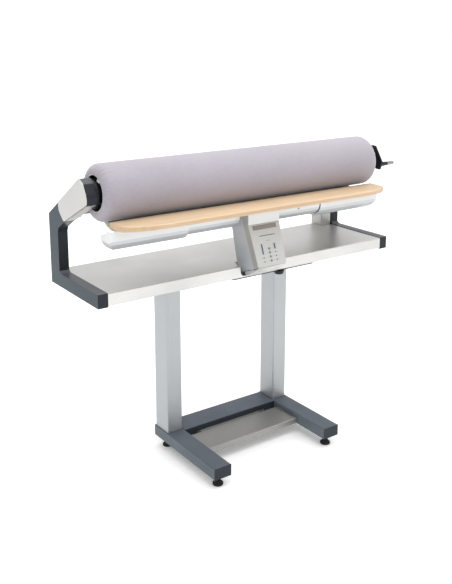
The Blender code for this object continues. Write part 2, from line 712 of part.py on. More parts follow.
def covers():
    pieces = []
    top_y = PAN_CENTRE[0] - math.sqrt(PAN_ARC_RADIUS ** 2 - (PAN_CENTRE[1] - PAN_TOP) ** 2)
    outer = pan_section(0, PAN_TOP) + arc_above(top_y, PAN_REAR, 5)
    inner = pan_section(PAN_SHEET, PAN_TOP + 0.02) + [(PAN_REAR - PAN_SHEET, PAN_TOP + 0.02)]
    for side, label in ((-1, "left"), (1, "right")):
        faces = []
        for inset, top in ((0, 0.95), (PAN_SHEET, 0.96)):
            faces.append([(side * a, b) for a, b in
                          rounded([(PAN_INNER_X + inset, top, 0),
                                   (PAN_INNER_X + inset, PAN_BOTTOM + inset, 0.008 - inset),
                                   (PAN_OUTER_X - inset, PAN_BOTTOM + inset, PAN_CORNER - inset),
                                   (PAN_OUTER_X - inset, top, 0)], steps=6)])
        pan = crossed("pan_" + label, outer, faces[0], PAN_OUTER_X + 0.01, (-0.15, 0), ALONG_Y)
        hollow = crossed("hollow_" + label, inner, faces[1], PAN_OUTER_X + 0.01, (-0.15, 0), ALONG_Y)
        boolean(pan, hollow, "DIFFERENCE")
        pieces.append(finish(pan, "cover_" + label, "white_coat"))
    bend = (BAR_FRONT + BAR_RADIUS, BAR_BOTTOM + BAR_RADIUS)
    path = [(BAR_FRONT, BAR_TOP)] + arc(bend, BAR_RADIUS, 180, 270, 6) + [(BAR_REAR, BAR_BOTTOM)]
    for label, low, high in (("left", -PAN_INNER_X + BAR_GAP, BAR_LEFT_END),
                             ("right", BAR_RIGHT_START, PAN_INNER_X - BAR_GAP)):
        bar = outline_solid("bar", [sheet_outline(path[::-1], BAR_SHEET)], low, high, ALONG_X)
        pieces.append(finish(bar, "centre_bar_" + label, "white_coat"))
    return pieces


def feed_board():
    wedge = [(BOARD_FRONT, BOARD_TOP), (BOARD_REAR, BOARD_TOP),
             (BOARD_REAR, BOARD_TOP - BOARD_REAR_THICK), (BOARD_FRONT, BOARD_TOP - BOARD_FRONT_THICK)]
    corner = []
    for step in range(9):
        angle = math.radians(90 * step / 8)
        corner.append((BOARD_HALF - BOARD_CORNER_X * (1 - math.cos(angle)),
                       BOARD_FRONT + BOARD_CORNER_Y * (1 - math.sin(angle))))
    plan = [(BOARD_HALF, BOARD_REAR)] + corner + mirrored(corner)[::-1] + [(-BOARD_HALF, BOARD_REAR)]
    board = crossed("board", wedge, plan, BOARD_HALF + 0.01, (0.85, 0.95), ALONG_Z)
    board = as_mesh(board, "board")
    add_bevel(board, 0.003, segments=2, angle=45)
    return finish(board, "feed_board", "beech")


# --- control box ------------------------------------------------------------------------
BOX_TOP = 0.8828
BOX_REAR = -0.035
BOX_REAR_LOW = -0.064
BOX_REAR_BEND = 0.814


def box_half(z):
    """Half width of the control box at a height."""
    fall = max(0, PANEL_Z - z) / (PANEL_Z - PANEL_FOOT_Z)
    return BOX_HALF_TOP + (BOX_HALF_FOOT - BOX_HALF_TOP) * fall


def control_box():
    down = Vector((PANEL_FOOT_Y - PANEL_Y, PANEL_FOOT_Z - PANEL_Z)).normalized()
    inward = Vector((-down.y, down.x))
    start = Vector((PANEL_Y, PANEL_Z)) + inward * (PANEL_THICKNESS + GAP)
    foot = Vector((PANEL_FOOT_Y, PANEL_FOOT_Z)) + inward * (PANEL_THICKNESS + GAP)
    reach = (BOX_REAR_LOW - foot.x) / inward.x
    low_z = foot.y + inward.y * reach
    top_y = PAN_CENTRE[0] - math.sqrt(PAN_ARC_RADIUS ** 2 - (PAN_CENTRE[1] - BOX_TOP) ** 2)
    outer = [(start.x, BOX_TOP), tuple(start), tuple(foot), (BOX_REAR_LOW, low_z),
             (BOX_REAR, BOX_REAR_BEND)] + arc_above(top_y, BOX_REAR, 4)
    lean = (BOX_REAR - BOX_REAR_LOW) / (BOX_REAR_BEND - low_z)
    low_y = BOX_REAR_LOW - BOX_WALL - lean * 0.06
    inner_top = arc_above(top_y - BOX_WALL, BOX_REAR - BOX_WALL, 4, PAN_ARC_RADIUS + BOX_WALL)
    inner = [(-0.30, low_z - 0.06), (low_y, low_z - 0.06), (BOX_REAR - BOX_WALL, BOX_REAR_BEND)]
    inner += inner_top + [(-0.30, inner_top[-1][1])]
    faces = []
    for inset in (0, BOX_WALL):
        half = [(box_half(z) - inset, z) for z in (0.56, PANEL_Z, 0.95)]
        faces.append(half + mirrored(half)[::-1])
    casing = crossed("casing", outer, faces[0], 0.08, (-0.20, 0), ALONG_Y)
    boolean(casing, crossed("box_hollow", inner, faces[1], 0.08, (-0.31, 0), ALONG_Y), "DIFFERENCE")
    band = box("band", (-BOX_HALF_TOP, PANEL_Y - GAP, PANEL_Z + GAP), (BOX_HALF_TOP, start.x - GAP, BOX_TOP))
    return [finish(casing, "control_casing", "grey_coat"), finish(band, "front_band", "white_coat")]


KEY_PLACES = (0.086, 0.0995, 0.113, 0.1265)
KEY_RADIUS = 0.0042


def on_panel(piece):
    piece.matrix_world = PANEL_PLACE @ piece.matrix_world
    return piece


def panel():
    """Control plate and what sits on it, drawn flat with the upper edge at zero."""
    narrow = box_half(PANEL_FOOT_Z)
    edge = rounded([(BOX_HALF_TOP, -0.0005, 0.001), (-BOX_HALF_TOP, -0.0005, 0.001),
                    (-narrow, -PANEL_LENGTH, 0.004), (narrow, -PANEL_LENGTH, 0.004)], steps=2)
    holes = [circle((0, -down), KEY_RADIUS + GAP, 16) for down in KEY_PLACES]
    plate = outline_solid("plate", [edge] + holes, -PANEL_THICKNESS, 0, ALONG_Z)
    lens = box("lens", (-0.050, -0.0195, GAP), (0.047, -0.0045, 0.0012), 0.0003)
    circuit = box("circuit", (-0.050, -0.062, -0.0125), (0.050, -0.010, -0.0109))
    pieces = [finish(on_panel(plate), "control_plate", "stainless"),
              finish(on_panel(lens), "display_window", "lens"),
              finish(on_panel(circuit), "circuit_board", "board_green")]
    keys = []
    for number, down in enumerate(KEY_PLACES, start=1):
        key = turned("key", [(0, 0.0010), (KEY_RADIUS - 0.0006, 0.0010), (KEY_RADIUS, 0.0006),
                             (KEY_RADIUS, -0.0060), (0, -0.0060)], (0, -down, 0), ALONG_Z,
                     steps=16, closed=False)
        keys.append(finish(on_panel(key), "key_%d" % number, "grey_coat"))
    return pieces, keys


# --- lifting drive ------------------------------------------------------------------------
def cam_outline():
    """Spiral that keeps its clearance to the follower as the shoe swings shut."""
    swing_points = []
    steps = 18
    for step in range(steps + 1):
        swing = -SHOE_OPEN_ANGLE * step / steps
        turn_by = CAM_TURNS_PER_SWING * swing
        seen = Vector(swung(FOLLOWER_Y, FOLLOWER_Z, -swing)) - Vector((CAM_Y, CAM_Z))
        angle = math.atan2(seen.y, seen.x) - turn_by
        swing_points.append((angle, seen.length - FOLLOWER_RADIUS - CAM_CLEARANCE))
    first_angle, small = swing_points[0]
    last_angle, large = swing_points[-1]
    dwell = math.radians(24)
    back = math.tau - (first_angle - last_angle) - 2 * dwell
    points = [(first_angle + dwell, small), (first_angle + dwell / 2, small)] + swing_points
    points.append((last_angle - dwell / 2, large))
    for step in range(9):
        share = step / 9
        radius = large + (small - large) * (1 - math.cos(math.pi * share)) / 2
        points.append((last_angle - dwell - back * share, radius))
    return [(CAM_Y + radius * math.cos(angle), CAM_Z + radius * math.sin(angle))
            for angle, radius in points]


def lifting_drive():
    motor = turned("motor", [(0, 0.056), (0.024, 0.056), (0.024, 0.0055), (0.004, 0.0055),
                             (0.004, -0.0077), (0, -0.0077)], CAM_AXIS, steps=24, closed=False)
    cam = outline_solid("cam", [cam_outline()], -0.018, -0.008, ALONG_X)
    foot = 0.6588
    top = FOLLOWER_Z + 0.009
    yoke = [(-0.040, foot), (0.014, foot), (0.014, foot + 0.003), (0.0005, foot + 0.003),
            (0.0005, top), (-0.0055, top), (-0.0055, foot + 0.003), (-0.0205, foot + 0.003),
            (-0.0205, top), (-0.0270, top), (-0.0270, foot + 0.003), (-0.040, foot + 0.003)]
    bracket = outline_solid("bracket", [yoke], FOLLOWER_Y - 0.009, FOLLOWER_Y + 0.009, ALONG_Y)
    boolean(bracket, prism("pin", 0.0025, -0.0215, -0.0045, FOLLOWER_AXIS, sides=16), "UNION")
    wheel = ring("wheel", 0.0029, FOLLOWER_RADIUS, -0.0170, -0.0090, FOLLOWER_AXIS, steps=24)
    return (finish(motor, "lift_motor", "steel"), finish(cam, "lift_cam", "steel"),
            finish(bracket, "lift_bracket", "steel"), finish(wheel, "cam_follower", "steel"))


# --- pedal and main switch ------------------------------------------------------------------
def pedal():
    path = rounded([(PEDAL_FRONT, 0.040, 0), (PEDAL_FRONT, PEDAL_TOP, 0.004), (PEDAL_REAR, PEDAL_TOP, 0)],
                   steps=4, closed=False)
    plate = outline_solid("pedal", [sheet_outline(path, 0.002)], -PEDAL_HALF, PEDAL_HALF, ALONG_X)
    place = (0, PEDAL_PIVOT_Y, PEDAL_PIVOT_Z)
    for low in (-0.190, 0.150):
        boolean(plate, ring("knuckle", 0.0033, 0.0085, low, low + 0.040, place, steps=16), "UNION")
    back = CROSSBAR_FRONT - GAP
    bracket = box("bracket", (-0.150, back - 0.003, 0.042), (0.150, back, 0.056))
    for x in (-0.141, 0.141):
        side = rounded([(back - 0.001, 0.043, 0), (back - 0.001, 0.055, 0),
                        (0.0215, 0.055, 0.004), (0.0215, 0.043, 0.004)], steps=2)
        boolean(bracket, outline_solid("ear", [side], x - 0.003, x + 0.003, ALONG_X), "UNION")
    boolean(bracket, prism("pin", 0.0030, -0.192, 0.192, place, sides=16), "UNION")
    return (finish(plate, "pedal_plate", "stainless"),
            finish(bracket, "pedal_bracket", "steel"))


def main_switch():
    shoulder = KNOB_TOP - 0.0052
    profile = [(0, KNOB_TOP), (KNOB_RADIUS, KNOB_TOP), (KNOB_RADIUS, shoulder),
               (KNOB_RADIUS - 0.003, KNOB_BOTTOM), (0, KNOB_BOTTOM)]
    knob = turned("knob", profile, (KNOB_X, KNOB_Y, 0), Matrix.Identity(4), steps=32, closed=False)
    return finish(knob, "switch_knob", "black_plastic")


# --- put it together ------------------------------------------------------------------------
crank_plate, crank_grip = crank()
panel_pieces, keys = panel()
lift_motor, lift_cam, lift_bracket, cam_follower = lifting_drive()
pedal_plate, pedal_bracket = pedal()
shaft = prism("shaft", SHAFT_RADIUS, -FRAME_INNER + 2 * GAP, FRAME_INNER - 2 * GAP, PIVOT, sides=32)
assembly = (
    (machine, base() + columns() + shelf() + frames() + axle() + [lift_bracket, pedal_bracket]),
    (roller_body, roller() + [crank_plate]),
    (grip_body, [crank_grip]),
    (shoe_body, covers() + [feed_board()] + control_box() + panel_pieces + keys
     + [lift_motor, finish(shaft, "pivot_shaft", "steel")]),
    (closed_shoe, trough()),
    (cam_body, [lift_cam]),
    (follower_body, [cam_follower]),
    (pedal_body, [pedal_plate]),
    (knob_body, [main_switch()]),
)
for body, pieces in assembly:
    for piece in pieces:
        attach(piece, body)

closed_shoe.rotation_euler.x = SHOE_OPEN_ANGLE
machine.location.x = -MIDDLE_X
bpy.context.view_layer.update()
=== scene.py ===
import math

import bmesh
import bpy
from mathutils import Matrix, Vector


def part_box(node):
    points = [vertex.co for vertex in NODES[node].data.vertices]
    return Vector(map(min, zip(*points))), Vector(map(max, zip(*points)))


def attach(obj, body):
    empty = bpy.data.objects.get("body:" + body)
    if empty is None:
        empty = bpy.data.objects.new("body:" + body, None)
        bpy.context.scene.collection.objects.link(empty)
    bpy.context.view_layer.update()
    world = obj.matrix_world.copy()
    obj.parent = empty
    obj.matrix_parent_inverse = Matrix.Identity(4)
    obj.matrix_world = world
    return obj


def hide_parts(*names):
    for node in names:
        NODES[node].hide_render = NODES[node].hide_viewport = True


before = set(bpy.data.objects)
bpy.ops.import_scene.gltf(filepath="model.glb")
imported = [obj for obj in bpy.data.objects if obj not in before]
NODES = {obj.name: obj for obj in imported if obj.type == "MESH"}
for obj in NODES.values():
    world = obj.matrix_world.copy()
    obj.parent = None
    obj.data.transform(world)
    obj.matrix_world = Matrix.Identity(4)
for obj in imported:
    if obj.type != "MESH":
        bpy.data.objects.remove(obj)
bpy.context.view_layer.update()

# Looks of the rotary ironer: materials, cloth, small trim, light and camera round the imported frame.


# --- node helpers -------------------------------------------------------------------
class Surface:
    """A Principled material that is put together from small procedural steps."""

    def __init__(self, name, roughness=0.5, metallic=0.0):
        self.material = bpy.data.materials.new(name)
        self.material.use_nodes = True
        self.tree = self.material.node_tree
        self.shader = self.tree.nodes["Principled BSDF"]
        self.shader.inputs["Roughness"].default_value = roughness
        self.shader.inputs["Metallic"].default_value = metallic
        self.coords = self.tree.nodes.new("ShaderNodeTexCoord")

    def link(self, source, target):
        self.tree.links.new(source, target)

    def mapped(self, stretch):
        node = self.tree.nodes.new("ShaderNodeMapping")
        node.inputs["Scale"].default_value = stretch
        self.link(self.coords.outputs["Object"], node.inputs["Vector"])
        return node.outputs["Vector"]

    def noise(self, scale, detail=3, stretch=(1, 1, 1), roughness=0.5):
        node = self.tree.nodes.new("ShaderNodeTexNoise")
        node.inputs["Scale"].default_value = scale
        node.inputs["Detail"].default_value = detail
        node.inputs["Roughness"].default_value = roughness
        self.link(self.mapped(stretch), node.inputs["Vector"])
        return node.outputs["Fac"]

    def wave(self, scale, direction, distortion, stretch=(1, 1, 1)):
        node = self.tree.nodes.new("ShaderNodeTexWave")
        node.bands_direction = direction
        node.inputs["Scale"].default_value = scale
        node.inputs["Distortion"].default_value = distortion
        self.link(self.mapped(stretch), node.inputs["Vector"])
        return node.outputs["Fac"]

    def ramp(self, factor, *stops):
        node = self.tree.nodes.new("ShaderNodeValToRGB")
        while len(node.color_ramp.elements) < len(stops):
            node.color_ramp.elements.new(0.5)
        for element, (place, colour) in zip(node.color_ramp.elements, stops):
            element.position = place
            element.color = (*colour, 1)
        self.link(factor, node.inputs["Fac"])
        return node.outputs["Color"]

    def mix(self, factor, first, second, blend="MIX"):
        node = self.tree.nodes.new("ShaderNodeMix")
        node.data_type = "RGBA"
        node.blend_type = blend
        for value, socket in ((factor, node.inputs[0]), (first, node.inputs[6]), (second, node.inputs[7])):
            if isinstance(value, tuple):
                socket.default_value = (*value, 1)
            elif isinstance(value, (int, float)):
                socket.default_value = value
            else:
                self.link(value, socket)
        return node.outputs[2]

    def math(self, operation, first, second=0.0):
        node = self.tree.nodes.new("ShaderNodeMath")
        node.operation = operation
        for value, socket in ((first, node.inputs[0]), (second, node.inputs[1])):
            if isinstance(value, (int, float)):
                socket.default_value = value
            else:
                self.link(value, socket)
        return node.outputs[0]

    def axis(self, letter, source="Object"):
        node = self.tree.nodes.new("ShaderNodeSeparateXYZ")
        self.link(self.coords.outputs[source], node.inputs[0])
        return node.outputs[letter]

    def colour(self, value):
        self.link(value, self.shader.inputs["Base Color"])
        return self

    def roughness(self, factor, low, high):
        node = self.tree.nodes.new("ShaderNodeMapRange")
        node.inputs["To Min"].default_value = low
        node.inputs["To Max"].default_value = high
        self.link(factor, node.inputs["Value"])
        self.link(node.outputs["Result"], self.shader.inputs["Roughness"])
        return self

    def bump(self, height, strength, distance):
        node = self.tree.nodes.new("ShaderNodeBump")
        node.inputs["Strength"].default_value = strength
        node.inputs["Distance"].default_value = distance
        self.link(height, node.inputs["Height"])
        last = self.shader.inputs["Normal"]
        if last.is_linked:
            self.link(last.links[0].from_socket, node.inputs["Normal"])
        self.link(node.outputs["Normal"], last)
        return self


def grey(value):
    return (value, value, value)


def tinted(colour, share):
    return tuple(min(1.0, part * share) for part in colour)


# --- materials ----------------------------------------------------------------------
def coat_with_painted_light(name, face, edge, top, roughness):
    """Powder coat in lit and shaded copies: a lit tone on the faces to the left and right, a painted tone
    for the light on the tops and painted shade on the rest.
    """
    made = Surface(name, roughness)
    side = made.math("ABSOLUTE", made.axis("X", "Normal"))
    lit_side_mask = made.math("GREATER_THAN", side, 0.6)
    level = made.math("GREATER_THAN", made.axis("Z", "Normal"), 0.6)
    cloud = made.noise(9, 4)
    # the first ramp is the lit tone of the side faces, the second the painted shade of the faces to the
    # front and back, the third the painted light on the tops
    light = made.ramp(cloud, (0.3, tinted(face, 0.9)), (0.7, tinted(face, 1.1)))
    dark = made.ramp(cloud, (0.3, tinted(edge, 0.9)), (0.7, tinted(edge, 1.1)))
    painted_top_light = made.ramp(cloud, (0.3, tinted(top, 0.88)), (0.7, tinted(top, 1.12)))
    made.colour(made.mix(level, made.mix(lit_side_mask, dark, light), painted_top_light))
    made.roughness(made.noise(60, 3), roughness - 0.05, roughness + 0.07)
    made.bump(made.noise(900, 2), 0.12, 0.0003)
    made.shader.inputs["Specular IOR Level"].default_value = 0.18
    return made.material


def enamel(name, colour, underside_shade, roughness=0.3):
    """White enamel with painted shade: greyer where it faces downwards."""
    made = Surface(name, roughness)
    cloud = made.noise(7, 4)
    face = made.ramp(cloud, (0.3, tinted(colour, 0.97)), (0.75, tinted(colour, 1.02)))
    downwards = made.math("MULTIPLY", made.axis("Z", "Normal"), -1.0)
    painted_underside_shade = made.ramp(downwards, (0.15, grey(0)), (0.7, grey(1)))
    made.colour(made.mix(painted_underside_shade, face, underside_shade))
    made.roughness(made.noise(40, 3), roughness - 0.04, roughness + 0.06)
    made.bump(made.noise(500, 2), 0.10, 0.0002)
    made.shader.inputs["Coat Weight"].default_value = 0.25
    made.shader.inputs["Coat Roughness"].default_value = 0.2
    return made.material


LINES_ACROSS = 260.0                     # stretch of the noise across the brush lines
LINES_ALONG = 2.5                        # and along them


def brushed(name, colour, along, roughness, cloudy, metallic=0.9, front=1.0):
    """Brushed metal: fine lines along one direction over soft, blotchy polish.

    The tone of faces to the front and the back is scaled by front, a painted shade.
    """
    made = Surface(name, roughness, metallic)
    stretch = [LINES_ACROSS] * 3
    stretch["XYZ".index(along)] = LINES_ALONG
    lines = made.noise(5, 6, tuple(stretch), 0.65)
    blotch = made.noise(3.2, 3)
    base = made.ramp(blotch, (0.3, tinted(colour, 1 - cloudy)), (0.7, tinted(colour, 1 + cloudy)))
    fine = made.ramp(lines, (0.25, grey(0.86)), (0.8, grey(1.0)))
    base = made.mix(1.0, base, fine, "MULTIPLY")
    forward = made.math("ABSOLUTE", made.axis("Y", "Normal"))
    painted_front_shade = made.ramp(forward, (0.4, grey(1)), (0.8, grey(front)))
    made.colour(made.mix(1.0, base, painted_front_shade, "MULTIPLY"))
    made.roughness(lines, roughness - 0.07, roughness + 0.12)
    made.bump(lines, 0.10, 0.0002)
    return made.material


def moulded(name, colour, roughness, grain=700):
    """Moulded plastic or rubber with a fine grain."""
    made = Surface(name, roughness)
    cloud = made.noise(14, 3)
    made.colour(made.ramp(cloud, (0.3, tinted(colour, 0.88)), (0.7, tinted(colour, 1.12))))
    made.roughness(made.noise(80, 3), roughness - 0.06, roughness + 0.08)
    made.bump(made.noise(grain, 2), 0.2, 0.0003)
    made.shader.inputs["Specular IOR Level"].default_value = 0.3
    return made.material


def beech_wood():
    """Beech with its grain along the board, faint rings and short dark rays."""
    made = Surface("beech", 0.42)
    drift = made.noise(4, 3, (0.5, 6, 6))
    fibre = made.noise(6, 7, (3.5, 150, 150), 0.6)
    rings = made.wave(11, "Y", 5.0, (0.35, 3.5, 3.5))
    rays = made.noise(55, 2, (0.55, 9, 9))
    base = made.ramp(drift, (0.3, (0.585, 0.435, 0.285)), (0.55, (0.645, 0.495, 0.335)),
                     (0.8, (0.69, 0.545, 0.385)))
    tone = made.ramp(rings, (0.1, (0.93, 0.89, 0.85)), (0.9, (1.0, 1.0, 1.0)))
    base = made.mix(0.6, base, tone, "MULTIPLY")
    threads = made.ramp(fibre, (0.35, (0.88, 0.83, 0.78)), (0.65, (1.0, 1.0, 1.0)))
    base = made.mix(0.7, base, threads, "MULTIPLY")
    flecks = made.ramp(rays, (0.66, (1.0, 1.0, 1.0)), (0.74, (0.86, 0.76, 0.66)))
    base = made.mix(0.5, base, flecks, "MULTIPLY")
    level = made.math("ABSOLUTE", made.axis("Z", "Normal"))
    edge = made.ramp(level, (0.25, (0.90, 0.85, 0.80)), (0.8, grey(1)))
    made.colour(made.mix(1.0, base, edge, "MULTIPLY"))
    made.roughness(fibre, 0.36, 0.52)
    made.bump(fibre, 0.14, 0.0003)
    made.shader.inputs["Coat Weight"].default_value = 0.15
    made.shader.inputs["Coat Roughness"].default_value = 0.35
    return made.material


THREADS_PER_SCALE = 6.3                  # threads in a metre, two to a wave, for a Wave scale of one


def woven(name, colour, threads=1500, sheen=0.5):
    """Weave of threads round the roller and slanting across them, with slubs and a light fuzz."""
    made = Surface(name, 0.88)
    warp = made.wave(threads / THREADS_PER_SCALE, "X", 0.6)
    weft = made.wave(threads / THREADS_PER_SCALE, "DIAGONAL", 0.6)
    weave = made.math("MULTIPLY", warp, weft)
    slub = made.noise(220, 4, (0.25, 1, 1))
    cloud = made.noise(6, 4)
    base = made.ramp(cloud, (0.3, tinted(colour, 0.95)), (0.7, tinted(colour, 1.04)))
    threads_tone = made.ramp(slub, (0.3, grey(0.93)), (0.7, grey(1.0)))
    made.colour(made.mix(1.0, base, threads_tone, "MULTIPLY"))
    made.bump(weave, 0.25, 0.0003)
    made.bump(slub, 0.2, 0.0004)
    made.shader.inputs["Sheen Weight"].default_value = sheen
    made.shader.inputs["Sheen Roughness"].default_value = 0.5
    return made.material


PAINTED_SHADE_DEPTH = 0.028                       # depth of the painted shade, a darker strip behind the control plate


def casing_paint():
    """Grey casing with painted shade: its strip behind the control plate is darker and warmer."""
    made = Surface("casing_paint", 0.38, 0.15)
    depth = made.math("ADD", made.math("MULTIPLY", made.axis("Y"), PANEL_NORMAL[1]),
                      made.math("MULTIPLY", made.axis("Z"), PANEL_NORMAL[2]))
    behind = made.math("SUBTRACT", PANEL_NORMAL.dot(PANEL_TOP) - PAINTED_SHADE_DEPTH, depth)
    beyond = made.math("GREATER_THAN", behind, 0.0)
    cloud = made.noise(12, 4)
    grey_side = made.ramp(cloud, (0.3, (0.39, 0.42, 0.445)), (0.7, (0.45, 0.475, 0.50)))
    painted_shade_side = made.ramp(cloud, (0.3, (0.30, 0.285, 0.27)), (0.7, (0.35, 0.335, 0.32)))
    made.colour(made.mix(beyond, painted_shade_side, grey_side))
    made.roughness(made.noise(60, 3), 0.32, 0.45)
    made.bump(made.noise(600, 2), 0.12, 0.0003)
    return made.material


def window_glass():
    """Smoked window with fine upright bars behind it."""
    made = Surface("display_lattice", 0.22)
    bars = made.wave(95, "X", 0.0)
    rows = made.wave(70, "Z", 0.0)
    upright = made.ramp(bars, (0.3, (0.17, 0.15, 0.14)), (0.7, (0.33, 0.31, 0.29)))
    faint = made.ramp(rows, (0.3, grey(0.85)), (0.7, grey(1)))
    made.colour(made.mix(1.0, upright, faint, "MULTIPLY"))
    made.roughness(made.noise(40, 2), 0.18, 0.3)
    return made.material


def felted(name, colour):
    """Loose fibre mat."""
    made = Surface(name, 0.95)
    tufts = made.noise(260, 5)
    cloud = made.noise(18, 4)
    base = made.ramp(cloud, (0.3, tinted(colour, 0.85)), (0.7, tinted(colour, 1.05)))
    shade = made.ramp(tufts, (0.3, grey(0.75)), (0.7, grey(1.0)))
    made.colour(made.mix(0.5, base, shade, "MULTIPLY"))
    made.bump(tufts, 0.6, 0.001)
    return made.material


def printed_board():
    """Green board with its tracks."""
    made = Surface("printed_board", 0.4)
    tracks = made.wave(60, "X", 3.0)
    made.colour(made.ramp(tracks, (0.45, (0.02, 0.14, 0.06)), (0.6, (0.05, 0.26, 0.11))))
    made.roughness(tracks, 0.3, 0.45)
    return made.material


# --- places taken from the frame ------------------------------------------------------
def low(node):
    return Vector(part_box(node)[0])


def high(node):
    return Vector(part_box(node)[1])


def middle(node):
    return (low(node) + high(node)) / 2


ROLLER = middle("roller_cover")
ROLLER_RADIUS = (high("roller_cover").z - low("roller_cover").z) / 2
ROLLER_HALF = (high("roller_cover").x - low("roller_cover").x) / 2
BAND_LOW = low("front_band")
PLATE_LOW = low("control_plate")
PANEL_SLOPE = 0.35187                    # radians that the control plate leans back from upright
PANEL_NORMAL = Vector((0, -math.cos(PANEL_SLOPE), math.sin(PANEL_SLOPE)))
PANEL_DOWN = Vector((0, -math.sin(PANEL_SLOPE), -math.cos(PANEL_SLOPE)))
PANEL_TOP = Vector((middle("control_plate").x, BAND_LOW.y + 0.0003, BAND_LOW.z - 0.0003))

BOARD_CORNER_X = 0.148
BOARD_CORNER_Y = 0.065
BOARD_FRONT_THICK = 0.015
BOARD_EDGE_RADIUS = 0.0045
SKIRT_HALF = 0.0577
SKIRT_SHEET = 0.0015
SKIRT_FRONT_SHEET = 0.0012
SKIRT_FRONT_INSET = 0.002
SKIRT_BOTTOM = high("mounting_plate").z + 0.003
SKIRT_TOP_BACK = 0.0035                  # the skirt's corners, back from the control plate's foot
SKIRT_FRONT_BACK = 0.0560
SKIRT_REAR_BACK = 0.0760
SKIRT_TOP_DROP = 0.0020                  # and below that foot, or above the skirt's bottom
SKIRT_FRONT_LIFT = 0.0065
SKIRT_REAR_LIFT = 0.0040
SKIRT_SLOPE = 0.3667                     # fall of the box's bottom towards its rear
SEAM_RADIUS = 0.040
SEAM_SWEEP = 78                          # degrees that the seam follows the bar's bend
SEAM_WIRE_RADIUS = 0.0014
SEAM_STANDS_OUT = 0.0006                 # from the bar's face
SEAM_INSET = 0.0006                      # from the bar's right-hand end
SEAM_TOP_GAP = 0.002

# print on the control plate: across from its middle, then down its slope from its upper edge
SCALE_BARS = ((-0.028, 0.068, 0.102), (0.024, 0.071, 0.090))
LIGHTS = ((-0.028, 0.114), (-0.028, 0.127), (0.0242, 0.100), (0.0242, 0.113), (0.0242, 0.126))
KEY_DOWN = (0.086, 0.0995, 0.113, 0.1265)
HEAD_LINE_DOWN = 0.041
WINDOW_DASH_X = 0.002
WINDOW_DASH_DOWN = 0.0585
RAISED = 0.0003                          # how far out the scale bars' and the lights' own frame lies
SCALE_HALF_WIDTH = 0.0024
SCALE_BACK = -0.0002
SCALE_FACE = 0.0003
TICK_COUNT = 5
LIGHT_RADIUS = 0.0023
LIGHT_TOP_RADIUS = 0.0018
LIGHT_DEPTH = 0.0008
PRINT_DEPTH = 0.0002

# dashes, each from left to right of its place
HEAD_LINE = (-0.030, 0.034)
WINDOW_DASH = (-0.009, 0.009)
TICKS = ((-0.0075, -0.0045), (0.0045, 0.0075))
LIGHT_DASHES = ((-0.0095, -0.0055), (0.0050, 0.0075))
KEY_DASHES = ((-0.0105, -0.0065), (0.0065, 0.0095))
HEAD_LINE_HALF = 0.0012                  # half of each dash's width
WINDOW_DASH_HALF = 0.0005
DASH_HALF = 0.0004
TICK_HALF = 0.0003

COLUMN_SCREW_RADIUS = 0.006
COLUMN_SCREW_DEPTH = 0.0024
COLUMN_SCREW_INSET = 0.018               # from the column's front and rear
COLUMN_SCREW_DOWN = 0.045                # from its top
BAR_SCREW_RADIUS = 0.0036
BAR_SCREW_TOP_RADIUS = 0.0030
BAR_SCREW_DEPTH = 0.0012
BAR_SCREW_ACROSS = 0.112                 # from the bar's left-hand end
BAR_SCREW_DOWN = 0.021                   # from its top
BAR_SCREW_OUT = 0.0005

# SLATE is the lit tone of the frames' side faces; the near-black tone after it is painted shade, on the
# frames' front and back faces and on the mounting plate
SLATE = (0.014, 0.033, 0.046)
PAINTED_SHADE_TONE = (0.017, 0.020, 0.026)
WHITE = (0.66, 0.685, 0.695)

MATERIALS = {
    # frame: painted shade on the front and back faces and a painted reflection on the tops
    "frame_coat": coat_with_painted_light("frame_coat", SLATE, PAINTED_SHADE_TONE, (0.075, 0.078, 0.09), 0.3),
    # base: painted shade on the front and back faces
    "base_coat": coat_with_painted_light("base_coat", (0.105, 0.128, 0.146), (0.024, 0.031, 0.039),
                        (0.098, 0.114, 0.138), 0.36),
    # mounting plate: painted shade on its sides and a painted lit grey on its top
    "bracket_coat": coat_with_painted_light("bracket_coat", PAINTED_SHADE_TONE, PAINTED_SHADE_TONE, (0.50, 0.50, 0.49), 0.4),
    "black": moulded("black_moulding", (0.011, 0.012, 0.015), 0.42),
    "rubber": moulded("rubber", (0.018, 0.018, 0.019), 0.7, 400),
    # the shelf's lip and other faces to the front and back are darkened, a painted shade
    "shelf_steel": brushed("shelf_steel", (0.74, 0.735, 0.715), "X", 0.36, 0.10, front=0.84),
    "plate_steel": brushed("plate_steel", (0.56, 0.555, 0.54), "Z", 0.36, 0.05),
    "post_steel": brushed("post_steel", (0.42, 0.415, 0.40), "Z", 0.38, 0.08),
    "pedal_steel": brushed("pedal_steel", (0.36, 0.355, 0.345), "X", 0.4, 0.08),
    "panel_steel": brushed("panel_steel", (0.60, 0.60, 0.58), "X", 0.45, 0.04, 0.5),
    "column": brushed("anodised", (0.44, 0.46, 0.47), "Z", 0.42, 0.03, 0.75),
    "dark_steel": brushed("dark_steel", (0.35, 0.35, 0.36), "X", 0.35, 0.08),
    # the grey after WHITE is painted shade on the enamel's downward faces
    "white": enamel("white_enamel", WHITE, (0.30, 0.32, 0.335)),
    "casing": casing_paint(),
    "beech": beech_wood(),
    "cotton": woven("cotton", (0.335, 0.308, 0.350)),
    "tape": woven("tape", (0.74, 0.72, 0.76), 1100, 0.2),
    "wool": felted("glass_wool", (0.72, 0.66, 0.42)),
    "window": window_glass(),
    "board": printed_board(),
    "blue": moulded("blue_print", (0.045, 0.095, 0.155), 0.4),
    "grey_print": moulded("grey_print", (0.16, 0.165, 0.17), 0.5),
    "key": moulded("key_moulding", (0.22, 0.23, 0.235), 0.5),
}

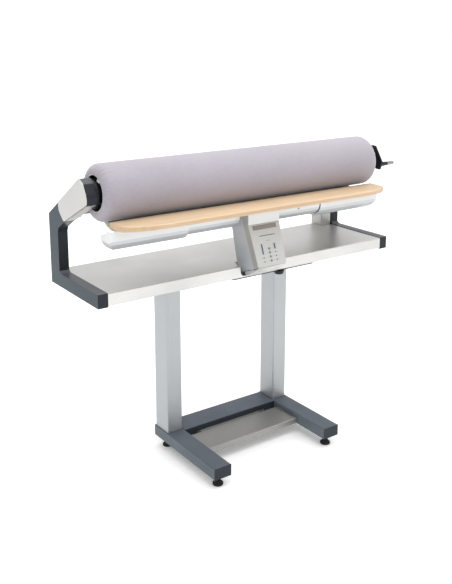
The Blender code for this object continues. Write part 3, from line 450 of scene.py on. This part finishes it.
FINISH_OF = {
    "frame_coat": "side_frame_left side_frame_right shelf_beam",
    "base_coat": "base_leg_left base_leg_right base_crossbar leg_end_cap_left leg_end_cap_right",
    "bracket_coat": "mounting_plate",
    "black": "axle_flange axle_tube mains_gland switch_knob roller_hub_left roller_hub_right crank",
    "rubber": "glide_foot_front_left glide_foot_front_right glide_foot_rear_left glide_foot_rear_right",
    "shelf_steel": "shelf",
    "post_steel": "right_post_cover head_underside_strip",
    "plate_steel": "head_plate",
    "pedal_steel": "pedal_plate",
    "panel_steel": "control_plate",
    "column": "column_left column_right shoe_trough",
    "dark_steel": "roller_motor roller_bearing pivot_bearing_left pivot_bearing_right lift_bracket "
                  "pedal_bracket roller_tube drive_flange crank_grip heating_element swing_carrier "
                  "pivot_shaft lift_motor lift_cam cam_follower",
    "white": "cover_left cover_right centre_bar_left centre_bar_right front_band",
    "casing": "control_casing",
    "wool": "trough_insulation",
    "window": "display_window",
    "board": "circuit_board",
    "key": "key_1 key_2 key_3 key_4",
}

CREASE = math.radians(32)
COVER_CREASE = math.radians(62)

SMALL_BEVEL = {
    "side_frame_left": 0.0012, "side_frame_right": 0.0012, "control_casing": 0.001,
    "front_band": 0.0008,
    "centre_bar_left": 0.0006, "centre_bar_right": 0.0006, "head_plate": 0.0006,
    "control_plate": 0.0006, "crank": 0.001, "shelf": 0.0003, "pedal_plate": 0.0004,
}


def dress_frame():
    """Give every CAD node that stays in view its finish, smooth shading and softened edges."""
    for finish, names in FINISH_OF.items():
        for name in names.split():
            node = NODES[name]
            node.data.materials.clear()
            node.data.materials.append(MATERIALS[finish])
            node.data.shade_smooth()
            crease = COVER_CREASE if name.startswith("cover_") else CREASE
            node.data.set_sharp_from_angle(angle=crease)
    for name, width in SMALL_BEVEL.items():
        rounding = NODES[name].modifiers.new("softened edges", "BEVEL")
        rounding.width = width
        rounding.segments = 2
        rounding.limit_method = "ANGLE"
        rounding.angle_limit = math.radians(40)
        rounding.harden_normals = True


# --- building pieces ------------------------------------------------------------------
def add_piece(name, shape, material, body, smooth=True):
    """Turn a bmesh into a piece that rides on a body and takes a material slot."""
    mesh = bpy.data.meshes.new(name)
    bmesh.ops.recalc_face_normals(shape, faces=shape.faces)
    shape.to_mesh(mesh)
    shape.free()
    mesh.materials.append(material)
    if smooth:
        mesh.shade_smooth()
        mesh.set_sharp_from_angle(angle=math.radians(40))
    piece = bpy.data.objects.new(name, mesh)
    bpy.context.scene.collection.objects.link(piece)
    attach(piece, body)
    return piece


def turned_shape(profile, radius_change, around):
    """Closed loop of (x, radius) turned about the roller axis, each radius altered by radius_change."""
    shape = bmesh.new()
    rings = []
    for x, radius in profile:
        ring = []
        for step in range(around):
            angle = math.tau * step / around
            here = radius + radius_change(x, radius, angle)
            ring.append(shape.verts.new((ROLLER.x + x, ROLLER.y + here * math.cos(angle),
                                         ROLLER.z + here * math.sin(angle))))
        rings.append(ring)
    for first, second in zip(rings, rings[1:] + rings[:1]):
        for step in range(around):
            after = (step + 1) % around
            shape.faces.new((first[step], first[after], second[after], second[step]))
    return shape


END_RADIUS = 0.022
HOLE_RADIUS = 0.058
TUBE_RADIUS = 0.0753
INSIDE_STEP = 0.0045                     # how far the cloth's inner face stands behind its rim
PUCKERS = 40
PUCKER_REACH = 0.055
DRAWN_IN_DEPTH = 0.018                   # fall of radius over which the gathers reach full depth
GATHER_OUTSIDE = 0.0008                  # depth of the gathers on the roller and on its end
GATHER_INSIDE = 0.0022
STITCH_FROM_END = 0.0205
STITCH_WIDTH = 0.0016
STITCH_DEPTH = 0.0011
FOLD_ANGLE = 2.2                         # where the cover's two folds run in over the left shoulder
FOLD_GAP = 0.16
FOLD_WIDTH = 0.035
FOLD_DEPTH = 0.0022
SLACK = 0.0004
RIPPLE = 0.00018
RIM_DEPTH = 0.0035                       # the rim of the hole in the cover's ends
RIM_ROUNDING = 0.0015
HEM_INSIDE = 0.0022                      # middle of the drawn hem, inside the roller's end
HEM_RAISED = 0.0004                      # and outside the hole
HEM_HALF_WIDTH = 0.0020
HEM_HALF_HEIGHT = 0.0026
HEM_PUCKER = 0.0006
LOOP_HALF_ANGLE = 0.13
LOOP_INSIDE = 0.0062                     # middle of the drawstring loop, inside the hole
LOOP_HALF_HEIGHT = 0.0035
LOOP_SUNK = 0.0015
LOOP_TWIST = 0.0012
STRING_RADIUS = 0.0012
AROUND = 360


def wrapped(angle):
    return (angle + math.pi) % math.tau - math.pi


def cloth_change(x, radius, angle):
    """Gathers and a stitched line at the drawn-in ends, two folds over one shoulder, slack between."""
    end = ROLLER_HALF - abs(x)
    if radius == TUBE_RADIUS:
        return 0
    side = 1 if x > 0 else -1
    near = max(0.0, 1 - end / PUCKER_REACH) ** 2
    inward = max(0.0, min(1.0, (ROLLER_RADIUS - radius) / DRAWN_IN_DEPTH))
    phase = angle * PUCKERS + 1.6 * math.sin(3 * angle + side) + 0.9 * math.sin(7 * angle + 2 * side)
    uneven = 0.7 + 0.3 * math.sin(5 * angle + 1.7 * side)
    deep = GATHER_OUTSIDE * near + GATHER_INSIDE * inward
    gather = (0.5 + 0.5 * math.cos(phase)) ** 1.5 * uneven * deep
    stitches = STITCH_DEPTH * math.exp(-((end - STITCH_FROM_END) / STITCH_WIDTH) ** 2)
    folds = 0
    if side < 0:
        for shift in (-FOLD_GAP / 2, FOLD_GAP / 2):
            across = wrapped(angle - FOLD_ANGLE - shift) / FOLD_WIDTH
            folds += FOLD_DEPTH * math.exp(-across ** 2) * max(near, inward)
    slack = SLACK * (math.sin(47 * x + 2 * angle) * math.sin(3 * angle + 9 * x) + 1) / 2
    ripple = RIPPLE * math.sin(150 * x + 4 * math.sin(2 * angle)) * near
    return -gather - stitches - folds - slack * (1 - inward) + ripple


def hem_change(x, radius, angle):
    """Small even puckers of the drawn hem."""
    return HEM_PUCKER * math.sin(2 * PUCKERS * angle)


def roller_cloth():
    """Padding and cotton cover in one soft ring, its ends drawn in round the hub."""
    bend = ROLLER_HALF - END_RADIUS
    middle_radius = ROLLER_RADIUS - END_RADIUS
    steps = 150
    outer = []
    for step in range(1, steps):
        share = step / steps
        eased = share - 0.075 * math.sin(math.tau * share)
        outer.append((bend - 2 * bend * eased, ROLLER_RADIUS))
    right = [(ROLLER_HALF - RIM_DEPTH, HOLE_RADIUS), (ROLLER_HALF, HOLE_RADIUS + RIM_ROUNDING)]
    left = []
    arc_steps = 14
    for step in range(arc_steps + 1):
        angle = math.pi / 2 * step / arc_steps
        right.append((bend + END_RADIUS * math.cos(angle), middle_radius + END_RADIUS * math.sin(angle)))
        left.append((-bend - END_RADIUS * math.sin(angle), middle_radius + END_RADIUS * math.cos(angle)))
    left += [(-ROLLER_HALF, HOLE_RADIUS + RIM_ROUNDING), (-ROLLER_HALF + RIM_DEPTH, HOLE_RADIUS)]
    inside = ROLLER_HALF - INSIDE_STEP
    inner = [(-inside, HOLE_RADIUS + 0.001), (-inside, TUBE_RADIUS), (inside, TUBE_RADIUS),
             (inside, HOLE_RADIUS + 0.001)]
    shape = turned_shape(right + outer + left + inner, cloth_change, AROUND)
    cloth = add_piece("roller_cloth", shape, MATERIALS["cotton"], "roller")
    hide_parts("roller_cover", "roller_padding")
    for label, side in (("left", -1), ("right", 1)):
        hem = []
        for step in range(12):
            angle = math.tau * step / 12
            hem.append((side * (ROLLER_HALF - HEM_INSIDE + HEM_HALF_WIDTH * math.cos(angle)),
                        HOLE_RADIUS + HEM_RAISED + HEM_HALF_HEIGHT * math.sin(angle)))
        shape = turned_shape(hem, hem_change, AROUND)
        add_piece("drawn_hem_" + label, shape, MATERIALS["tape"], "roller")
    drawstring_loop()


def tube_shape(points, radius, sides):
    """Round tube with closed ends through a run of points."""
    shape = bmesh.new()
    rings = []
    for number, point in enumerate(points):
        before = points[max(0, number - 1)]
        after = points[min(len(points) - 1, number + 1)]
        turn = (after - before).to_track_quat("Z", "Y")
        ring = []
        for step in range(sides):
            angle = math.tau * step / sides
            offset = turn @ Vector((radius * math.cos(angle), radius * math.sin(angle), 0))
            ring.append(shape.verts.new(point + offset))
        rings.append(ring)
    for first, second in zip(rings, rings[1:]):
        for step in range(sides):
            after = (step + 1) % sides
            shape.faces.new((first[step], first[after], second[after], second[step]))
    shape.faces.new(rings[0])
    shape.faces.new(rings[-1])
    return shape


def drawstring_loop():
    """Tucked-in loop of the drawstring, lying against the cloth inside the left recess."""
    points = []
    steps = 36
    for step in range(steps):
        turn = math.tau * step / steps
        angle = FOLD_ANGLE + LOOP_HALF_ANGLE * math.cos(turn)
        radius = HOLE_RADIUS - LOOP_INSIDE + LOOP_HALF_HEIGHT * math.sin(turn)
        x = -ROLLER_HALF + LOOP_SUNK - LOOP_TWIST * math.sin(2 * turn)
        points.append(Vector((ROLLER.x + x, ROLLER.y + radius * math.cos(angle),
                              ROLLER.z + radius * math.sin(angle))))
    points.append(points[0].copy())
    loop = tube_shape(points, STRING_RADIUS, 10)
    add_piece("drawstring_loop", loop, MATERIALS["tape"], "roller")


def box_shape(shape, lowest, highest, place):
    """Add a box between two corners, moved to its place."""
    size = Vector(highest) - Vector(lowest)
    centre = (Vector(highest) + Vector(lowest)) / 2
    made = bmesh.ops.create_cube(shape, size=1)["verts"]
    bmesh.ops.scale(shape, vec=size, verts=made)
    bmesh.ops.translate(shape, vec=centre, verts=made)
    bmesh.ops.transform(shape, matrix=place, verts=made)


def disc_shape(shape, radius, depth, place, sides, top=None):
    """Add a disc or a low cone about the place's own Z."""
    bmesh.ops.create_cone(shape, cap_ends=True, segments=sides, radius1=radius,
                          radius2=radius if top is None else top, depth=depth,
                          matrix=place)


def panel_place(x, down, out=0.0):
    """Frame on the control plate: X along it, Y up it, Z out of it."""
    up = -PANEL_DOWN
    turn = Matrix(((1, 0, 0), (0, up.y, up.z), (0, PANEL_NORMAL.y, PANEL_NORMAL.z))).transposed().to_4x4()
    return Matrix.Translation(PANEL_TOP + Vector((x, 0, 0)) + PANEL_DOWN * down + PANEL_NORMAL * out) @ turn


def feed_board():
    """Beech board with elliptical front corners, rounded edges and a bottom that falls to the rear."""
    lowest, highest = low("feed_board"), high("feed_board")
    centre_x, half = middle("feed_board").x, (highest.x - lowest.x) / 2
    rear_thick = highest.z - lowest.z
    outline = [(centre_x + half, highest.y)]
    steps = 28
    for step in range(steps + 1):
        angle = math.pi / 2 * step / steps
        outline.append((centre_x + half - BOARD_CORNER_X * (1 - math.cos(angle)),
                        lowest.y + BOARD_CORNER_Y * (1 - math.sin(angle))))
    outline += [(2 * centre_x - x, y) for x, y in reversed(outline)]
    count = len(outline)
    normals = []
    for index in range(count):
        before, after = Vector(outline[index - 1]), Vector(outline[(index + 1) % count])
        along = (after - before).normalized()
        normals.append(Vector((along.y, -along.x)))
    rounding_steps = 5
    rings = []
    for from_top in (True, False):
        for step in range(rounding_steps + 1):
            share = step / rounding_steps if from_top else 1 - step / rounding_steps
            angle = math.pi / 2 * share
            rings.append((BOARD_EDGE_RADIUS * (1 - math.sin(angle)),
                          BOARD_EDGE_RADIUS * (1 - math.cos(angle)), from_top))
    shape = bmesh.new()
    made = []
    for inset, drop, from_top in rings:
        ring = []
        for (x, y), normal in zip(outline, normals):
            depth = (y - lowest.y) / (highest.y - lowest.y)
            thick = BOARD_FRONT_THICK + (rear_thick - BOARD_FRONT_THICK) * depth
            level = highest.z - drop if from_top else highest.z - thick + drop
            ring.append(shape.verts.new((x + normal.x * inset, y + normal.y * inset, level)))
        made.append(ring)
    for first, second in zip(made, made[1:]):
        for index in range(count):
            after = (index + 1) % count
            shape.faces.new((first[index], first[after], second[after], second[index]))
    shape.faces.new(made[0])
    shape.faces.new(made[-1])
    board = add_piece("beech_board", shape, MATERIALS["beech"], "shoe")
    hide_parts("feed_board")


def sheet_between(shape, corners, thickness):
    """Flat plate through its corners, thickened along its normal."""
    points = [Vector(corner) for corner in corners]
    normal = (points[1] - points[0]).cross(points[2] - points[0]).normalized() * thickness
    front = [shape.verts.new(point) for point in points]
    back = [shape.verts.new(point + normal) for point in points]
    shape.faces.new(front)
    shape.faces.new(back[::-1])
    for index in range(len(points)):
        after = (index + 1) % len(points)
        shape.faces.new((front[after], front[index], back[index], back[after]))


def casing_skirt():
    """Skirt that carries the control box down into the notch of the shelf."""
    x = middle("control_plate").x
    top_front = (PLATE_LOW.y + SKIRT_TOP_BACK, PLATE_LOW.z - SKIRT_TOP_DROP)
    low_front = (PLATE_LOW.y + SKIRT_FRONT_BACK, SKIRT_BOTTOM + SKIRT_FRONT_LIFT)
    low_rear = (PLATE_LOW.y + SKIRT_REAR_BACK, SKIRT_BOTTOM + SKIRT_REAR_LIFT)
    top_rear = (low_rear[0], top_front[1] - (low_rear[0] - top_front[0]) * SKIRT_SLOPE)
    sides = bmesh.new()
    for side in (-1, 1):
        corners = [(x + side * SKIRT_HALF, y, z) for y, z in (top_front, low_front, low_rear, top_rear)]
        sheet_between(sides, corners, -SKIRT_SHEET * side)
    add_piece("casing_skirt", sides, MATERIALS["casing"], "shoe", smooth=False)
    front = bmesh.new()
    inner = SKIRT_HALF - SKIRT_FRONT_INSET
    corners = [(x - inner, *top_front), (x + inner, *top_front),
               (x + inner, *low_front), (x - inner, *low_front)]
    sheet_between(front, corners, SKIRT_FRONT_SHEET)
    add_piece("skirt_front", front, MATERIALS["shelf_steel"], "shoe", smooth=False)


def cover_seam():
    """Dark line standing in for the shadow in the joint between the right-hand bar and the cover beside it,
    a painted shade.
    """
    bar_low, bar_high = low("centre_bar_right"), high("centre_bar_right")
    x = bar_high.x - SEAM_INSET
    centre_y, centre_z = bar_low.y + SEAM_RADIUS, bar_low.z + SEAM_RADIUS
    reach = SEAM_RADIUS + SEAM_STANDS_OUT
    front = centre_y - reach
    points = [Vector((x, front, bar_high.z - SEAM_TOP_GAP)), Vector((x, front, centre_z))]
    steps = 12
    for step in range(1, steps + 1):
        angle = math.radians(180 + SEAM_SWEEP * step / steps)
        points.append(Vector((x, centre_y + reach * math.cos(angle), centre_z + reach * math.sin(angle))))
    seam = tube_shape(points, SEAM_WIRE_RADIUS, 8)
    add_piece("cover_seam", seam, MATERIALS["rubber"], "shoe")


def dash(shape, x, down, ends, half_width):
    """Thin printed dash between two ends left and right of a place on the control plate."""
    left, right = ends
    box_shape(shape, (left, -half_width, 0), (right, half_width, PRINT_DEPTH), panel_place(x, down))


def control_print():
    """Scale bars, lights and plain marks of the control plate."""
    blue = bmesh.new()
    dark = bmesh.new()
    for x, first, last in SCALE_BARS:
        half = (last - first) / 2
        box_shape(blue, (-SCALE_HALF_WIDTH, -half, SCALE_BACK), (SCALE_HALF_WIDTH, half, SCALE_FACE),
                  panel_place(x, (first + last) / 2, RAISED))
        for tick in range(TICK_COUNT):
            down = first + (last - first) * tick / (TICK_COUNT - 1)
            for ends in TICKS:
                dash(dark, x, down, ends, TICK_HALF)
    for x, down in LIGHTS:
        disc_shape(blue, LIGHT_RADIUS, LIGHT_DEPTH, panel_place(x, down, RAISED), 16, LIGHT_TOP_RADIUS)
        for ends in LIGHT_DASHES:
            dash(dark, x, down, ends, DASH_HALF)
    dash(blue, 0, HEAD_LINE_DOWN, HEAD_LINE, HEAD_LINE_HALF)
    dash(dark, WINDOW_DASH_X, WINDOW_DASH_DOWN, WINDOW_DASH, WINDOW_DASH_HALF)
    for down in KEY_DOWN:
        for ends in KEY_DASHES:
            dash(dark, 0, down, ends, DASH_HALF)
    add_piece("control_scales", blue, MATERIALS["blue"], "shoe", smooth=False)
    add_piece("control_marks", dark, MATERIALS["grey_print"], "shoe", smooth=False)


def screws():
    """Plain round heads near the tops of the columns and on the right-hand bar."""
    along_x = Matrix.Rotation(math.pi / 2, 4, "Y")
    heads = bmesh.new()
    for node, side in (("column_left", -1), ("column_right", 1)):
        outside = low(node).x if side < 0 else high(node).x
        for y in (low(node).y + COLUMN_SCREW_INSET, high(node).y - COLUMN_SCREW_INSET):
            place = (outside + side * COLUMN_SCREW_DEPTH / 2, y, high(node).z - COLUMN_SCREW_DOWN)
            disc_shape(heads, COLUMN_SCREW_RADIUS, COLUMN_SCREW_DEPTH,
                       Matrix.Translation(place) @ along_x, 24)
    add_piece("column_screws", heads, MATERIALS["dark_steel"], "stand")
    bar = bmesh.new()
    bar_low, bar_high = low("centre_bar_right"), high("centre_bar_right")
    along_y = Matrix.Rotation(math.pi / 2, 4, "X")
    place = (bar_low.x + BAR_SCREW_ACROSS, bar_low.y - BAR_SCREW_OUT, bar_high.z - BAR_SCREW_DOWN)
    disc_shape(bar, BAR_SCREW_RADIUS, BAR_SCREW_DEPTH, Matrix.Translation(place) @ along_y, 20,
               BAR_SCREW_TOP_RADIUS)
    add_piece("bar_screw", bar, MATERIALS["dark_steel"], "shoe")


FLOOR_SIZE = 60
FLOOR_GLOW = 0.2


def stage():
    """Plain pale floor with a faint glow, so that it stays white."""
    floor_mesh = bpy.data.meshes.new("floor")
    shape = bmesh.new()
    bmesh.ops.create_grid(shape, x_segments=1, y_segments=1, size=FLOOR_SIZE)
    shape.to_mesh(floor_mesh)
    shape.free()
    made = Surface("studio_floor", 0.9)
    made.shader.inputs["Base Color"].default_value = (0.92, 0.92, 0.92, 1)
    made.shader.inputs["Emission Color"].default_value = (1, 1, 1, 1)
    made.shader.inputs["Emission Strength"].default_value = FLOOR_GLOW
    floor_mesh.materials.append(made.material)
    floor = bpy.data.objects.new("floor", floor_mesh)
    bpy.context.scene.collection.objects.link(floor)


def area_light(name, place, target, size, power):
    """Soft rectangular light at place, turned to the target."""
    data = bpy.data.lights.new(name, "AREA")
    data.shape = "RECTANGLE"
    data.size, data.size_y = size
    data.energy = power
    light = bpy.data.objects.new(name, data)
    light.location = place
    light.rotation_euler = (Vector(target) - Vector(place)).to_track_quat("-Z", "Y").to_euler()
    bpy.context.scene.collection.objects.link(light)


SKY_STRENGTH = 1.7
# how far up a direction points, and its share of the sky's strength
SKY = ((0.0, 0.60), (0.05, 0.60), (0.34, 0.46), (0.55, 0.24), (0.85, 1.15))
# name, place, target, width and height, power in watts
LAMPS = (
    ("overhead", (0.2, -0.4, 3.4), (0, 0, 0.8), (4.0, 3.0), 48),
    ("front_right", (1.7, -3.0, 0.5), (0, 0, 0.7), (1.2, 0.6), 2),
)


def lights():
    """A white horizon, a dimmer wall above it and a wide bright ceiling."""
    world = bpy.data.worlds.new("studio")
    world.use_nodes = True
    tree = world.node_tree
    coords = tree.nodes.new("ShaderNodeTexCoord")
    split = tree.nodes.new("ShaderNodeSeparateXYZ")
    ramp = tree.nodes.new("ShaderNodeValToRGB")
    while len(ramp.color_ramp.elements) < len(SKY):
        ramp.color_ramp.elements.new(0.5)
    for element, (place, share) in zip(ramp.color_ramp.elements, SKY):
        element.position = place
        element.color = (share, share, share, 1)
    back = tree.nodes["Background"]
    back.inputs["Strength"].default_value = SKY_STRENGTH
    tree.links.new(coords.outputs["Generated"], split.inputs[0])
    tree.links.new(split.outputs["Z"], ramp.inputs["Fac"])
    tree.links.new(ramp.outputs["Color"], back.inputs["Color"])
    bpy.context.scene.world = world
    bpy.context.scene.view_settings.view_transform = "Standard"
    for lamp in LAMPS:
        area_light(*lamp)


LENS = 50.46
VIEW_PLACE = (-1.6629, -2.2136, 1.4805)
VIEW_TURN = 0.6151                       # from straight ahead towards the machine's right
VIEW_TILT = 0.2148                       # downwards
VIEW_SHIFT = -0.15                       # takes part of the tilt, so that uprights converge less


def camera():
    """View from the front left and above."""
    data = bpy.data.cameras.new("camera")
    data.lens = LENS
    data.sensor_width = 36
    data.shift_y = VIEW_SHIFT
    data.clip_end = 200
    view = bpy.data.objects.new("camera", data)
    view.location = VIEW_PLACE
    view.rotation_euler = (math.pi / 2 - VIEW_TILT, 0, -VIEW_TURN)
    bpy.context.scene.collection.objects.link(view)
    bpy.context.scene.camera = view


dress_frame()
roller_cloth()
feed_board()
casing_skirt()
cover_seam()
control_print()
screws()
stage()
lights()
camera()

bpy.context.view_layer.update()
